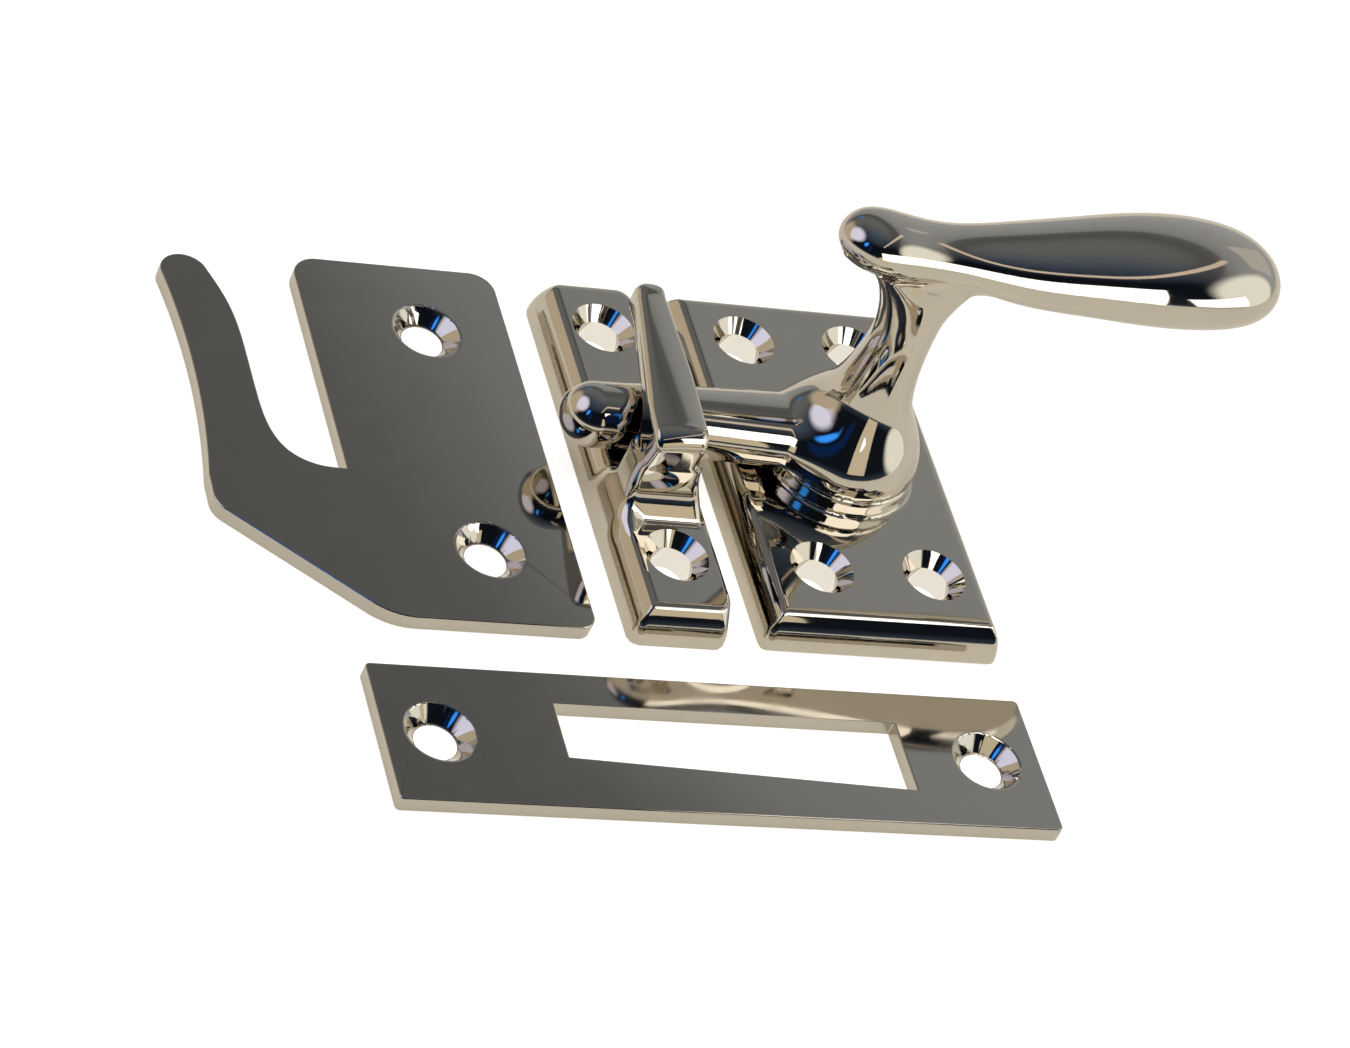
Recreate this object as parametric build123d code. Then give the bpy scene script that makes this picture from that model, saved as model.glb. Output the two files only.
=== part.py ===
"""Casement window fastener: turning handle on its base plate, with rim, hook and mortise strikes.

Millimetres. +Z points away from the wood, and z = 0 is the back plane of every plate. The origin
is the middle of the base plate's four screw holes. The handle points along +X and its tongue
along -X, held in the rim strike. The hook strike and the mortise strike lie beside them.
"""

import math
import os

from build123d import *

# ---- screws that every plate is countersunk for (No. 6 wood screw) ----
screw_hole_r = 2.1        # clearance hole for the screw's shank
thick_sink_r = 3.25       # countersink radius at the face of the two cast plates
thin_sink_r = 3.44        # countersink radius at the face of the two rolled plates
sink_angle = 82.0         # full angle of the countersink, degrees

# ---- base plate ----
plate_t = 4.0             # thickness of the cast plates
plate_side_h = 2.2        # upright side below the bevel
bevel_in = 1.6            # how far the bevel comes in over the rest of the thickness
base_w = 25.4
base_l = 44.45
base_x = -0.5             # middle of the plate from the middle of its holes
base_y = -0.5
base_corner_r = 0.8       # upright corners of the base plate
base_hole_dx = 12.0
base_hole_dy = 30.1

# ---- pivot ----
pivot_x = -0.5
pivot_y = -0.5
boss_h = 2.0
boss_overhang = 0.1       # how far the boss stands out past the hub
boss_edge_r = 0.4
spindle_r = 3.0
run_gap = 0.05            # radial and axial running clearance
tang_w = 4.2              # square end of the spindle, held in the hub
tang_top_z = 13.0
pocket_r = 6.2            # pocket in the back of the base for the retaining parts
pocket_depth = 3.2
spring_in_r = 3.4
spring_out_r = 5.6
spring_t = 0.4
spring_rise = 0.35
retainer_r = 5.4
retainer_t = 0.8
screw_head_r = 2.75
screw_head_h = 1.3
screw_r = 1.5
screw_top_z = 8.5
driver_slot_w = 0.8
driver_slot_depth = 0.7
thrust_out_r = 6.6
thrust_t = 0.5
thrust_cover = 0.35       # depth of the hub's recess over the thrust washer

# ---- handle ----
hub_seam_gap = 0.15       # gap between the boss and the rim of the hub
hub_r = 7.65
hub_rim_in = 0.06         # how far the hub's rim draws in below its widest ring
hub_bulge_h = 0.4         # widest ring above the boss
neck_r = 3.0
neck_z = 22.0             # height of the neck's thinnest ring
neck_lean = 0.7           # how far the top of the neck leans towards the knob
grip_z = 32.6             # height of the grip's middle line at its waist
grip_flat = 1.35          # width of the grip over its height
knob_x = -12.1            # free end of the thumb knob, from the pivot's side
grip_end_x = 35.2         # free end of the grip
grip_r = 4.65             # half height of the grip at its fullest
waist_r = 2.5             # half height of the grip over the neck
knob_r = 2.7              # half height of the thumb knob
tongue_gap = 0.25         # tongue clear of the plates below it
tongue_tip_x = -30.8
tongue_tip_r = 3.2
tongue_root_w = 4.6       # half width of the tongue where it leaves the hub
tongue_blend_r = 3.0      # fillet between the tongue and the hub

# ---- rim strike ----
rim_x0 = -26.85           # bevelled side
rim_x1 = -16.9            # square side, towards the base plate
rim_l = 45.2
rim_y = -0.4
rim_corner_r = 2.6        # upright corners of the bevelled side's far end
rim_front_corner_r = 1.2
rim_hole_x = -21.2
rim_hole_y = 0.1
rim_hole_dy = 29.8
keeper_front_y = -10.8    # foot of the keeper's swept front
keeper_sweep = 1.6        # how far the front draws back above its foot
keeper_brow = 3.2         # rounded top of the front, from the foot
keeper_nose_y = 12.1
throat_back_y = -5.0
throat_gap = 0.85         # arm clear of the tongue's top
nose_drop = 0.55          # nose below the arm, still clear of the tongue
arm_t = 2.7
arm_x0_front = -25.6      # left side of the arm over the column
arm_x0_nose = -22.5       # left side of the arm at its nose
arm_x1 = -19.2            # right side of the arm
arm_turn_in = 1.0         # how far the arm's right side draws in at its front
column_x1 = -17.1         # right side of the column at the plate

# ---- hook strike and mortise strike ----
strike_t = 1.7
hook_x1 = -30.35          # straight side
hook_slot_x = -51.45      # wall of the hook's gap
hook_x0 = -65.5           # outermost point of the hook
hook_y0 = -22.7
hook_y1 = 23.5
hook_tip_y = 22.4
hook_gap_end_y = -4.4     # closed end of the gap
hook_hole_x = -39.05
hook_hole_y = 0.6
hook_hole_dy = 28.4
mortise_x = -21.55
mortise_y = -36.5
mortise_l = 66.7
mortise_w = 15.9
mortise_hole_dx = 55.4
mortise_hole_dy = 0.15    # holes' line from the middle of the plate
mortise_corner_r = 0.5
slot_x0 = -15.65          # slot's ends from the middle of the mortise strike
slot_x1 = 19.1
slot_y1 = 4.25            # straight side of the slot
slot_y0_narrow = -2.05    # slanted side at the slot's narrow end
slot_y0_wide = -3.85      # slanted side at the slot's wide end

# ---- sizes that follow from those above ----
boss_r = hub_r + boss_overhang
hub_rim_r = hub_r - hub_rim_in
hub_bulge_z = plate_t + boss_h + hub_bulge_h
tongue_z = plate_t + tongue_gap + tongue_tip_r
throat_top_z = tongue_z + tongue_tip_r + throat_gap
nose_bottom_z = throat_top_z - nose_drop
keeper_top_z = throat_top_z + arm_t


def countersunk_hole(x, y, thickness, sink_r):
    """A through hole with its countersink at the front face, as one cutting tool."""
    depth = (sink_r - screw_hole_r) / math.tan(math.radians(sink_angle / 2))
    run_out = 0.5
    grow = run_out * math.tan(math.radians(sink_angle / 2))
    hole = Cylinder(screw_hole_r, thickness + 2, align=(Align.CENTER, Align.CENTER, Align.MIN))
    sink = Cone(
        screw_hole_r,
        sink_r + grow,
        depth + run_out,
        align=(Align.CENTER, Align.CENTER, Align.MIN),
    )
    return Pos(x, y, -1) * hole + Pos(x, y, thickness - depth) * sink


def bevelled_plate(x0, x1, y0, y1, sides):
    """A cast plate: upright sides, then a bevel on the sides named in `sides` (w, e, s, n)."""
    middle = Pos((x0 + x1) / 2, (y0 + y1) / 2, 0)
    plate = middle * Box(x1 - x0, y1 - y0, plate_t, align=(Align.CENTER, Align.CENTER, Align.MIN))
    rise = plate_t - plate_side_h
    edges = {
        "w": ((x0, (y0 + y1) / 2), (-1, 0)),
        "e": ((x1, (y0 + y1) / 2), (1, 0)),
        "s": (((x0 + x1) / 2, y0), (0, -1)),
        "n": (((x0 + x1) / 2, y1), (0, 1)),
    }
    reach = 2 * max(x1 - x0, y1 - y0)
    for side in sides:
        (px, py), (nx, ny) = edges[side]
        corner = Polyline((0, 0), (-bevel_in, rise), (1, rise), (1, 0), close=True)
        wedge = extrude(make_face(corner), reach / 2, both=True)
        frame = Plane(origin=(px, py, plate_side_h), x_dir=(nx, ny, 0), z_dir=(ny, -nx, 0))
        plate -= frame * wedge
    return plate


def back_parts_axis():
    return Pos(pivot_x, pivot_y, 0)


def base_plate():
    x0 = base_x - base_w / 2
    x1 = base_x + base_w / 2
    y0 = base_y - base_l / 2
    y1 = base_y + base_l / 2
    plate = bevelled_plate(x0, x1, y0, y1, "wesn")
    plate = fillet(plate.edges().filter_by(Axis.Z), base_corner_r)
    boss = Cylinder(boss_r, plate_t + boss_h, align=(Align.CENTER, Align.CENTER, Align.MIN))
    boss = fillet(boss.edges().sort_by(Axis.Z)[-1], boss_edge_r)
    plate += back_parts_axis() * boss
    bore = Cylinder(spindle_r + run_gap, 3 * plate_t, align=(Align.CENTER, Align.CENTER, Align.MIN))
    pocket = Cylinder(pocket_r, pocket_depth + 1, align=(Align.CENTER, Align.CENTER, Align.MIN))
    plate -= back_parts_axis() * (bore + Pos(0, 0, -1) * pocket)
    for sx in (-1, 1):
        for sy in (-1, 1):
            place = (sx * base_hole_dx / 2, sy * base_hole_dy / 2)
            plate -= countersunk_hole(*place, plate_t, thick_sink_r)
    return plate


def thrust_washer():
    """Thin washer on the boss that the hub turns on."""
    outer = Cylinder(thrust_out_r, thrust_t, align=(Align.CENTER, Align.CENTER, Align.MIN))
    inner = Cylinder(spindle_r + run_gap, thrust_t, align=(Align.CENTER, Align.CENTER, Align.MIN))
    return Pos(pivot_x, pivot_y, plate_t + boss_h) * (outer - inner)


def spring_washer():
    """Dished washer that presses the base between the hub and the retaining washer."""
    top = pocket_depth
    low = top - spring_rise
    section = Polyline(
        (spring_in_r, 0, top - spring_t),
        (spring_out_r, 0, low - spring_t),
        (spring_out_r, 0, low),
        (spring_in_r, 0, top),
        close=True,
    )
    return back_parts_axis() * revolve(make_face(section), Axis.Z)


def retainer_top_z():
    """Face of the retaining washer, a running gap below the dished washer."""
    return pocket_depth - spring_rise - spring_t - run_gap


def retaining_washer():
    outer = Cylinder(retainer_r, retainer_t, align=(Align.CENTER, Align.CENTER, Align.MAX))
    inner = Cylinder(screw_r, retainer_t, align=(Align.CENTER, Align.CENTER, Align.MAX))
    return Pos(pivot_x, pivot_y, retainer_top_z()) * (outer - inner)


def retaining_screw():
    """Pan-headed screw that holds the retaining washer against the end of the spindle."""
    seat = retainer_top_z() - retainer_t
    shank = Cylinder(screw_r, screw_top_z - seat, align=(Align.CENTER, Align.CENTER, Align.MIN))
    head = Cylinder(screw_head_r, screw_head_h, align=(Align.CENTER, Align.CENTER, Align.MAX))
    head = fillet(head.edges().sort_by(Axis.Z)[0], 0.3 * screw_head_h)
    slot = Box(3 * screw_head_r, driver_slot_w, 2 * driver_slot_depth)
    head -= Pos(0, 0, -screw_head_h) * slot
    return Pos(pivot_x, pivot_y, seat) * (head + shank)


def spindle():
    """Turned pin through the base, square where it is driven into the hub."""
    foot = retainer_top_z()
    shoulder = plate_t + boss_h + thrust_t
    pin = Cylinder(spindle_r, shoulder - foot, align=(Align.CENTER, Align.CENTER, Align.MIN))
    tang = Box(tang_w, tang_w, tang_top_z - shoulder, align=(Align.CENTER, Align.CENTER, Align.MIN))
    hole = Cylinder(screw_r, screw_top_z - foot, align=(Align.CENTER, Align.CENTER, Align.MIN))
    pin = Pos(0, 0, foot) * pin + Pos(0, 0, shoulder) * tang - Pos(0, 0, foot) * hole
    return back_parts_axis() * pin


def hub_and_neck():
    """Bell-shaped hub that draws in to a slim neck."""
    foot = plate_t + boss_h + hub_seam_gap
    rim = ThreePointArc(
        (hub_rim_r, 0, foot),
        (hub_r - 0.01, 0, (foot + hub_bulge_z) / 2),
        (hub_r, 0, hub_bulge_z),
    )
    swell = Spline(
        (hub_r, 0, hub_bulge_z),
        (0.90 * hub_r, 0, hub_bulge_z + 2.6),
        (0.745 * hub_r, 0, hub_bulge_z + 4.6),
        (0.58 * hub_r, 0, hub_bulge_z + 6.6),
        (1.2 * neck_r, 0, hub_bulge_z + 9.6),
        (neck_r, 0, neck_z),
        tangents=((0, 0, 1), (0, 0, 1)),
    )
    closing = Polyline((neck_r, 0, neck_z), (0, 0, neck_z), (0, 0, foot), (hub_rim_r, 0, foot))
    body = revolve(make_face(rim + swell + closing), Axis.Z)
    return back_parts_axis() * body


def neck_flare():
    """Top of the neck, drawn out along the grip until it runs into the underside."""
    rise = grip_z - waist_r - neck_z
    # share of the rise, half length along the grip, half width across it
    stations = (
        (0.00, neck_r, neck_r),
        (0.35, 1.12 * neck_r, 1.03 * neck_r),
        (0.62, 1.38 * neck_r, 1.04 * neck_r),
        (0.84, 1.80 * neck_r, 0.98 * neck_r),
        (1.00, 2.40 * neck_r, 0.77 * neck_r),
    )
    sections = []
    for share, half_x, half_y in stations:
        place = Plane(origin=(pivot_x - neck_lean * share, pivot_y, neck_z + share * rise))
        sections.append(place * Ellipse(half_x, half_y))
    return loft(sections)


def grip():
    """Flattened spoon-shaped grip along X, with a rounded thumb knob at its short end."""
    # share of the length from the knob to the far end, half height, rise of the middle line
    stations = (
        (0.006, 0.30 * knob_r, 0.70),
        (0.022, 0.62 * knob_r, 0.70),
        (0.050, 0.88 * knob_r, 0.65),
        (0.090, knob_r, 0.50),
        (0.160, 0.95 * knob_r, 0.15),
        (0.260, waist_r, -0.20),
        (0.420, 0.74 * grip_r, -0.50),
        (0.560, 0.88 * grip_r, -0.10),
        (0.680, 0.98 * grip_r, 0.25),
        (0.780, grip_r, 0.40),
        (0.870, 0.93 * grip_r, 0.40),
        (0.935, 0.76 * grip_r, 0.30),
        (0.975, 0.51 * grip_r, 0.20),
        (0.995, 0.24 * grip_r, 0.15),
    )
    length = grip_end_x - knob_x
    sections = []
    for share, half, rise in stations:
        place = Plane(
            origin=(knob_x + share * length, pivot_y, grip_z + rise),
            x_dir=(0, 1, 0),
            z_dir=(1, 0, 0),
        )
        sections.append(place * Ellipse(grip_flat * half, half))
    return loft(sections)


def tongue():
    """Tapered tongue along -X with a ball end, a little wider than high near the hub."""
    ball_x = tongue_tip_x + tongue_tip_r
    root = Plane(origin=(pivot_x, pivot_y, tongue_z), x_dir=(0, 1, 0), z_dir=(-1, 0, 0))
    tip = Plane(origin=(ball_x, pivot_y, tongue_z), x_dir=(0, 1, 0), z_dir=(-1, 0, 0))
    bar = loft([root * Ellipse(tongue_root_w, tongue_tip_r), tip * Circle(tongue_tip_r)], ruled=True)
    ball = Pos(ball_x, pivot_y, tongue_z) * Sphere(tongue_tip_r)
    return bar + ball


def crosses_hub_side(edge):
    """Whether an edge is the line where the tongue's top and sides leave the hub."""
    box = edge.bounding_box()
    beyond = box.max.X < pivot_x - hub_r / 2 and box.min.X > tongue_tip_x / 2
    return beyond and edge.length > tongue_root_w


def handle():
    body = hub_and_neck() + tongue()
    joint = [e for e in body.edges() if crosses_hub_side(e)]
    body = fillet(joint, tongue_blend_r)
    body += neck_flare() + grip()
    # nothing of the tongue's root may reach under the rim of the hub
    foot = plate_t + boss_h + hub_seam_gap
    seat_r = boss_r + 0.6
    under = Cylinder(seat_r, foot, align=(Align.CENTER, Align.CENTER, Align.MIN))
    body -= back_parts_axis() * under
    recess = Cylinder(
        thrust_out_r + 4 * run_gap,
        thrust_cover + run_gap,
        align=(Align.CENTER, Align.CENTER, Align.MIN),
    )
    seat = plate_t + boss_h + thrust_t
    socket = Box(tang_w, tang_w, tang_top_z - foot, align=(Align.CENTER, Align.CENTER, Align.MIN))
    body -= Pos(pivot_x, pivot_y, seat - thrust_cover) * recess
    body -= Pos(pivot_x, pivot_y, foot) * socket
    return body


def keeper_side_view():
    """Outline of the keeper seen from its right: swept column, arm, nose and throat."""
    foot = plate_t - 0.5
    front = keeper_front_y
    waist = (front + keeper_sweep, plate_t + 5.6)
    brow = (front + 0.7 * keeper_sweep, keeper_top_z - 1.8)
    brow_end = (front + keeper_brow, keeper_top_z)
    top_end = (keeper_nose_y - 2.2, keeper_top_z - 0.2)
    nose_end = (keeper_nose_y - 1.9, nose_bottom_z)
    roof_start = (keeper_nose_y - 4.6, throat_top_z)
    roof_end = (throat_back_y + 2.4, throat_top_z)
    wall_top = (throat_back_y, throat_top_z - 2.4)
    wall_foot = (throat_back_y, plate_t + 0.8)
    heel = (throat_back_y + 0.8, plate_t)
    outline = ThreePointArc(
        (front, plate_t),
        (front + 0.94 * keeper_sweep, plate_t + 2.6),
        waist,
    )
    outline += Polyline(waist, brow)
    outline += ThreePointArc(
        brow,
        (front + 0.53 * keeper_brow, keeper_top_z - 0.45),
        brow_end,
    )
    outline += Polyline(brow_end, top_end)
    outline += ThreePointArc(
        top_end,
        (keeper_nose_y, (keeper_top_z + nose_bottom_z) / 2 + 0.2),
        nose_end,
    )
    outline += Polyline(nose_end, roof_start, roof_end)
    outline += ThreePointArc(
        roof_end,
        (throat_back_y + 0.7, throat_top_z - 0.7),
        wall_top,
    )
    outline += Polyline(wall_top, wall_foot, heel, (heel[0], foot), (front, foot), (front, plate_t))
    return make_face(outline)


def keeper_front_view():
    """Outline seen from the column's front: leaning left side, hollow right side."""
    foot = plate_t - 0.5
    left = rim_x0 + bevel_in
    over = keeper_top_z + 1
    outline = Polyline(
        (column_x1, foot),
        (left, foot),
        (left, plate_t),
        (arm_x0_front, keeper_top_z - 2.5),
        (arm_x0_front, over),
        (arm_x1, over),
        (arm_x1, throat_top_z),
    )
    outline += ThreePointArc(
        (arm_x1, throat_top_z),
        (arm_x1 + 0.4, (throat_top_z + plate_t) / 2),
        (column_x1, plate_t),
    )
    outline += Polyline((column_x1, plate_t), (column_x1, foot))
    return make_face(outline)


def arm_plan():
    """Outline of the arm from above: wide and rounded over the column, narrow at the nose."""
    front = keeper_front_y - 1
    nose = keeper_nose_y + 1
    turn = throat_back_y + 5.0
    outline = Polyline(
        (arm_x1 - arm_turn_in, front),
        (arm_x0_front, front),
        (arm_x0_front, keeper_front_y + 2.8),
        (arm_x0_nose, keeper_nose_y - 1.5),
        (arm_x0_nose + 0.6, nose),
        (arm_x1 - 0.2, nose),
        (arm_x1, keeper_nose_y - 2.0),
        (arm_x1, turn),
    )
    outline += ThreePointArc(
        (arm_x1, turn),
        (arm_x1 - 0.3 * arm_turn_in, turn - 4.5),
        (arm_x1 - arm_turn_in, front),
    )
    return make_face(outline)


def keeper():
    """Hooked keeper of the rim strike: a swept column and an arm over the tongue."""
    reach = rim_l
    left = rim_x0 + bevel_in
    body = extrude(Plane.YZ * keeper_side_view(), reach, both=True)
    body &= extrude(Plane.XZ * keeper_front_view(), reach, both=True)
    column_plan = Polyline(
        (left, keeper_front_y - 1),
        (left, throat_back_y + 1),
        (column_x1, throat_back_y + 1),
        (column_x1, keeper_front_y - 1),
        close=True,
    )
    arm_slab = extrude(arm_plan(), keeper_top_z + 2)
    column_slab = extrude(make_face(column_plan), throat_top_z - 1.5)
    body &= arm_slab + column_slab
    return body


def rim_strike():
    y0 = rim_y - rim_l / 2
    y1 = rim_y + rim_l / 2
    plate = bevelled_plate(rim_x0, rim_x1, y0, y1, "wsn")
    rounds = (
        (rim_x0, y1, rim_corner_r),
        (rim_x1, y1, rim_front_corner_r),
        (rim_x0, y0, rim_front_corner_r),
        (rim_x1, y0, rim_front_corner_r),
    )
    for x, y, radius in rounds:
        corner = plate.edges().filter_by(Axis.Z).sort_by_distance((x, y, 0))[0]
        plate = fillet(corner, radius)
    plate += keeper()
    for sy in (-1, 1):
        y = rim_hole_y + sy * rim_hole_dy / 2
        plate -= countersunk_hole(rim_hole_x, y, plate_t, thick_sink_r)
    return plate


def hook_strike():
    """Rolled plate with a hook on its far side that the tongue turns into."""
    right = Polyline((hook_x1, hook_y0), (hook_x1, hook_y1), (hook_slot_x, hook_y1))
    wall = Polyline((hook_slot_x, hook_y1), (hook_slot_x, hook_gap_end_y))
    gap_end = Spline(
        (hook_slot_x, hook_gap_end_y),
        (hook_slot_x - 2.6, hook_gap_end_y + 0.2),
        (hook_slot_x - 5.3, hook_gap_end_y + 1.75),
        (hook_slot_x - 6.65, hook_gap_end_y + 4.7),
        (hook_slot_x - 7.0, hook_gap_end_y + 8.4),
    )
    inner = Spline(
        (hook_slot_x - 7.0, hook_gap_end_y + 8.4),
        (hook_slot_x - 7.05, hook_gap_end_y + 14.4),
        (hook_slot_x - 7.55, hook_gap_end_y + 20.6),
        (hook_x0 + 4.95, hook_tip_y - 1.25),
        tangents=((0, 1), (-0.75, 1)),
    )
    tip = ThreePointArc(
        (hook_x0 + 4.95, hook_tip_y - 1.25),
        (hook_x0 + 2.75, hook_tip_y),
        (hook_x0 + 0.3, hook_tip_y - 2.4),
    )
    outer = ThreePointArc(
        (hook_x0 + 0.3, hook_tip_y - 2.4),
        (hook_x0 + 1.15, hook_tip_y - 12.0),
        (hook_x0 + 0.05, hook_y0 + 16.2),
    )
    shoulder = Polyline(
        (hook_x0 + 0.05, hook_y0 + 16.2),
        (hook_x0, hook_y0 + 12.6),
        (hook_x0 + 14.8, hook_y0),
        (hook_x1, hook_y0),
    )
    face = make_face(right + wall + gap_end + inner + tip + outer + shoulder)
    plate = extrude(face, strike_t)
    rounds = (
        (hook_x1, hook_y0, 1.6),
        (hook_x1, hook_y1, 2.4),
        (hook_slot_x, hook_y1, 2.7),
        (hook_x0, hook_y0 + 12.6, 2.6),
        (hook_x0 + 14.8, hook_y0, 7.0),
    )
    for x, y, radius in rounds:
        corner = plate.edges().filter_by(Axis.Z).sort_by_distance((x, y, strike_t / 2))[0]
        plate = fillet(corner, radius)
    for sy in (-1, 1):
        y = hook_hole_y + sy * hook_hole_dy / 2
        plate -= countersunk_hole(hook_hole_x, y, strike_t, thin_sink_r)
    return plate


def mortise_strike():
    """Rolled plate with a wedge-shaped slot that draws the sash in as the tongue turns."""
    plate = Pos(mortise_x, mortise_y, 0) * Box(
        mortise_l, mortise_w, strike_t, align=(Align.CENTER, Align.CENTER, Align.MIN)
    )
    plate = fillet(plate.edges().filter_by(Axis.Z), mortise_corner_r)
    slot = Polyline(
        (slot_x0, slot_y0_narrow),
        (slot_x1, slot_y0_wide),
        (slot_x1, slot_y1),
        (slot_x0, slot_y1),
        close=True,
    )
    cut = extrude(make_face(slot), 3 * strike_t, both=True)
    plate -= Pos(mortise_x, mortise_y, 0) * cut
    for sx in (-1, 1):
        x = mortise_x + sx * mortise_hole_dx / 2
        plate -= countersunk_hole(x, mortise_y + mortise_hole_dy, strike_t, thin_sink_r)
    return plate


PARTS = {
    "base_plate": base_plate,
    "thrust_washer": thrust_washer,
    "spring_washer": spring_washer,
    "retaining_washer": retaining_washer,
    "retaining_screw": retaining_screw,
    "spindle": spindle,
    "handle": handle,
    "rim_strike": rim_strike,
    "hook_strike": hook_strike,
    "mortise_strike": mortise_strike,
}

os.makedirs("parts", exist_ok=True)
for name, make in PARTS.items():
    export_step(make(), f"parts/{name}.step")
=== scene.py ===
# Casement window fastener in polished nickel: handle and base, rim strike, hook strike, mortise strike.
# The dictionaries are in millimetres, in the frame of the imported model; meshes are written in metres.
import math

import bmesh
import bpy
import numpy as np
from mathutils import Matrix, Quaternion, Vector


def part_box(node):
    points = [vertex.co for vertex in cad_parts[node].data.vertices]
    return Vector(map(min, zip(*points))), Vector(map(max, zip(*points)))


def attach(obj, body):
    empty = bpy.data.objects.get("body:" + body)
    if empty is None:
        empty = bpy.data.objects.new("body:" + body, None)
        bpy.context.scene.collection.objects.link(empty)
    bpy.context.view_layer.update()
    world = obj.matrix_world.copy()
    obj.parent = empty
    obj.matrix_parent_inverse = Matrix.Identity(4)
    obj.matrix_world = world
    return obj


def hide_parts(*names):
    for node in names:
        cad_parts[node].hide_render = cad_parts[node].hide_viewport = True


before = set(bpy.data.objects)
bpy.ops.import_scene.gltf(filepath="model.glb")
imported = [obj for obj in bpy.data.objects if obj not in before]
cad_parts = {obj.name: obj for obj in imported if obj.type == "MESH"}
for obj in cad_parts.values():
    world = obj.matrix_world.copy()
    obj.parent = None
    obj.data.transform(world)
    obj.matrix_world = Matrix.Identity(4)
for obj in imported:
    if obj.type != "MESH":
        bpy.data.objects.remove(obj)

scene = bpy.context.scene
mm = 0.001
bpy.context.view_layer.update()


def say(stage):
    print("stage:", stage, flush=True)


cameraView = {
    "target": (-12.78, 0.53, -7.72),   # a point on the lens's axis
    "azimuth": -33.68,                 # 0 looks along +Y, 90 along -X
    "elevation": 40.71,
    "roll": 27.70,                     # degrees, anticlockwise from behind the camera
    "distance": 508.3,
    "lens": 138.6,
}


def makeCamera():
    azimuth = math.radians(cameraView["azimuth"])
    elevation = math.radians(cameraView["elevation"])
    back = Vector((
        math.sin(azimuth) * math.cos(elevation),
        -math.cos(azimuth) * math.cos(elevation),
        math.sin(elevation),
    ))
    data = bpy.data.cameras.new("camera")
    data.lens = cameraView["lens"]
    data.sensor_width = 36
    data.clip_start, data.clip_end = 0.01, 20
    camera = bpy.data.objects.new("camera", data)
    scene.collection.objects.link(camera)
    camera.rotation_mode = "QUATERNION"
    camera.location = (Vector(cameraView["target"]) + back * cameraView["distance"]) * mm
    roll = Quaternion((0, 0, 1), math.radians(cameraView["roll"]))
    camera.rotation_quaternion = (-back).to_track_quat("-Z", "Y") @ roll
    scene.camera = camera


makeCamera()
say("camera")


def srgb(hexText):
    # linear colour of an sRGB hex value
    parts = [int(hexText[i:i + 2], 16) / 255 for i in (1, 3, 5)]
    return tuple(c / 12.92 if c <= 0.04045 else ((c + 0.055) / 1.055) ** 2.4 for c in parts) + (1.0,)


def addNode(tree, kind, settings=None, inputs=None, links=None):
    # one node with its settings, its input values and what feeds it
    node = tree.nodes.new(kind)
    for name, value in (settings or {}).items():
        setattr(node, name, value)
    for name, value in (inputs or {}).items():
        node.inputs[name].default_value = value
    for name, source in (links or {}).items():
        tree.links.new(source, node.inputs[name])
    return node


def newMaterial(name):
    material = bpy.data.materials.new(name)
    material.use_nodes = True
    material.node_tree.nodes.clear()
    return material, material.node_tree


nickelLook = {
    "castColor": "#cdc6b9",       # bright nickel plate, a little warmer than chrome
    "castHaze": (0.028, 0.075),   # roughness from buffed spots to handled spots
    "castWave": 7.0,              # mm, slow waves left by hand buffing of the casting
    "castWaveDepth": 0.0035,      # mm
    "sheetColor": "#c9c3b8",
    "sheetHaze": (0.03, 0.07),
    "sheetWave": 16.0,            # mm, rolled sheet is flatter
    "sheetWaveDepth": 0.0025,
    "lineSpacing": 0.35,          # mm, buffing lines, coarser than the real 0.05 so that they show
    "lineDepth": 0.00012,
}


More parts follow.
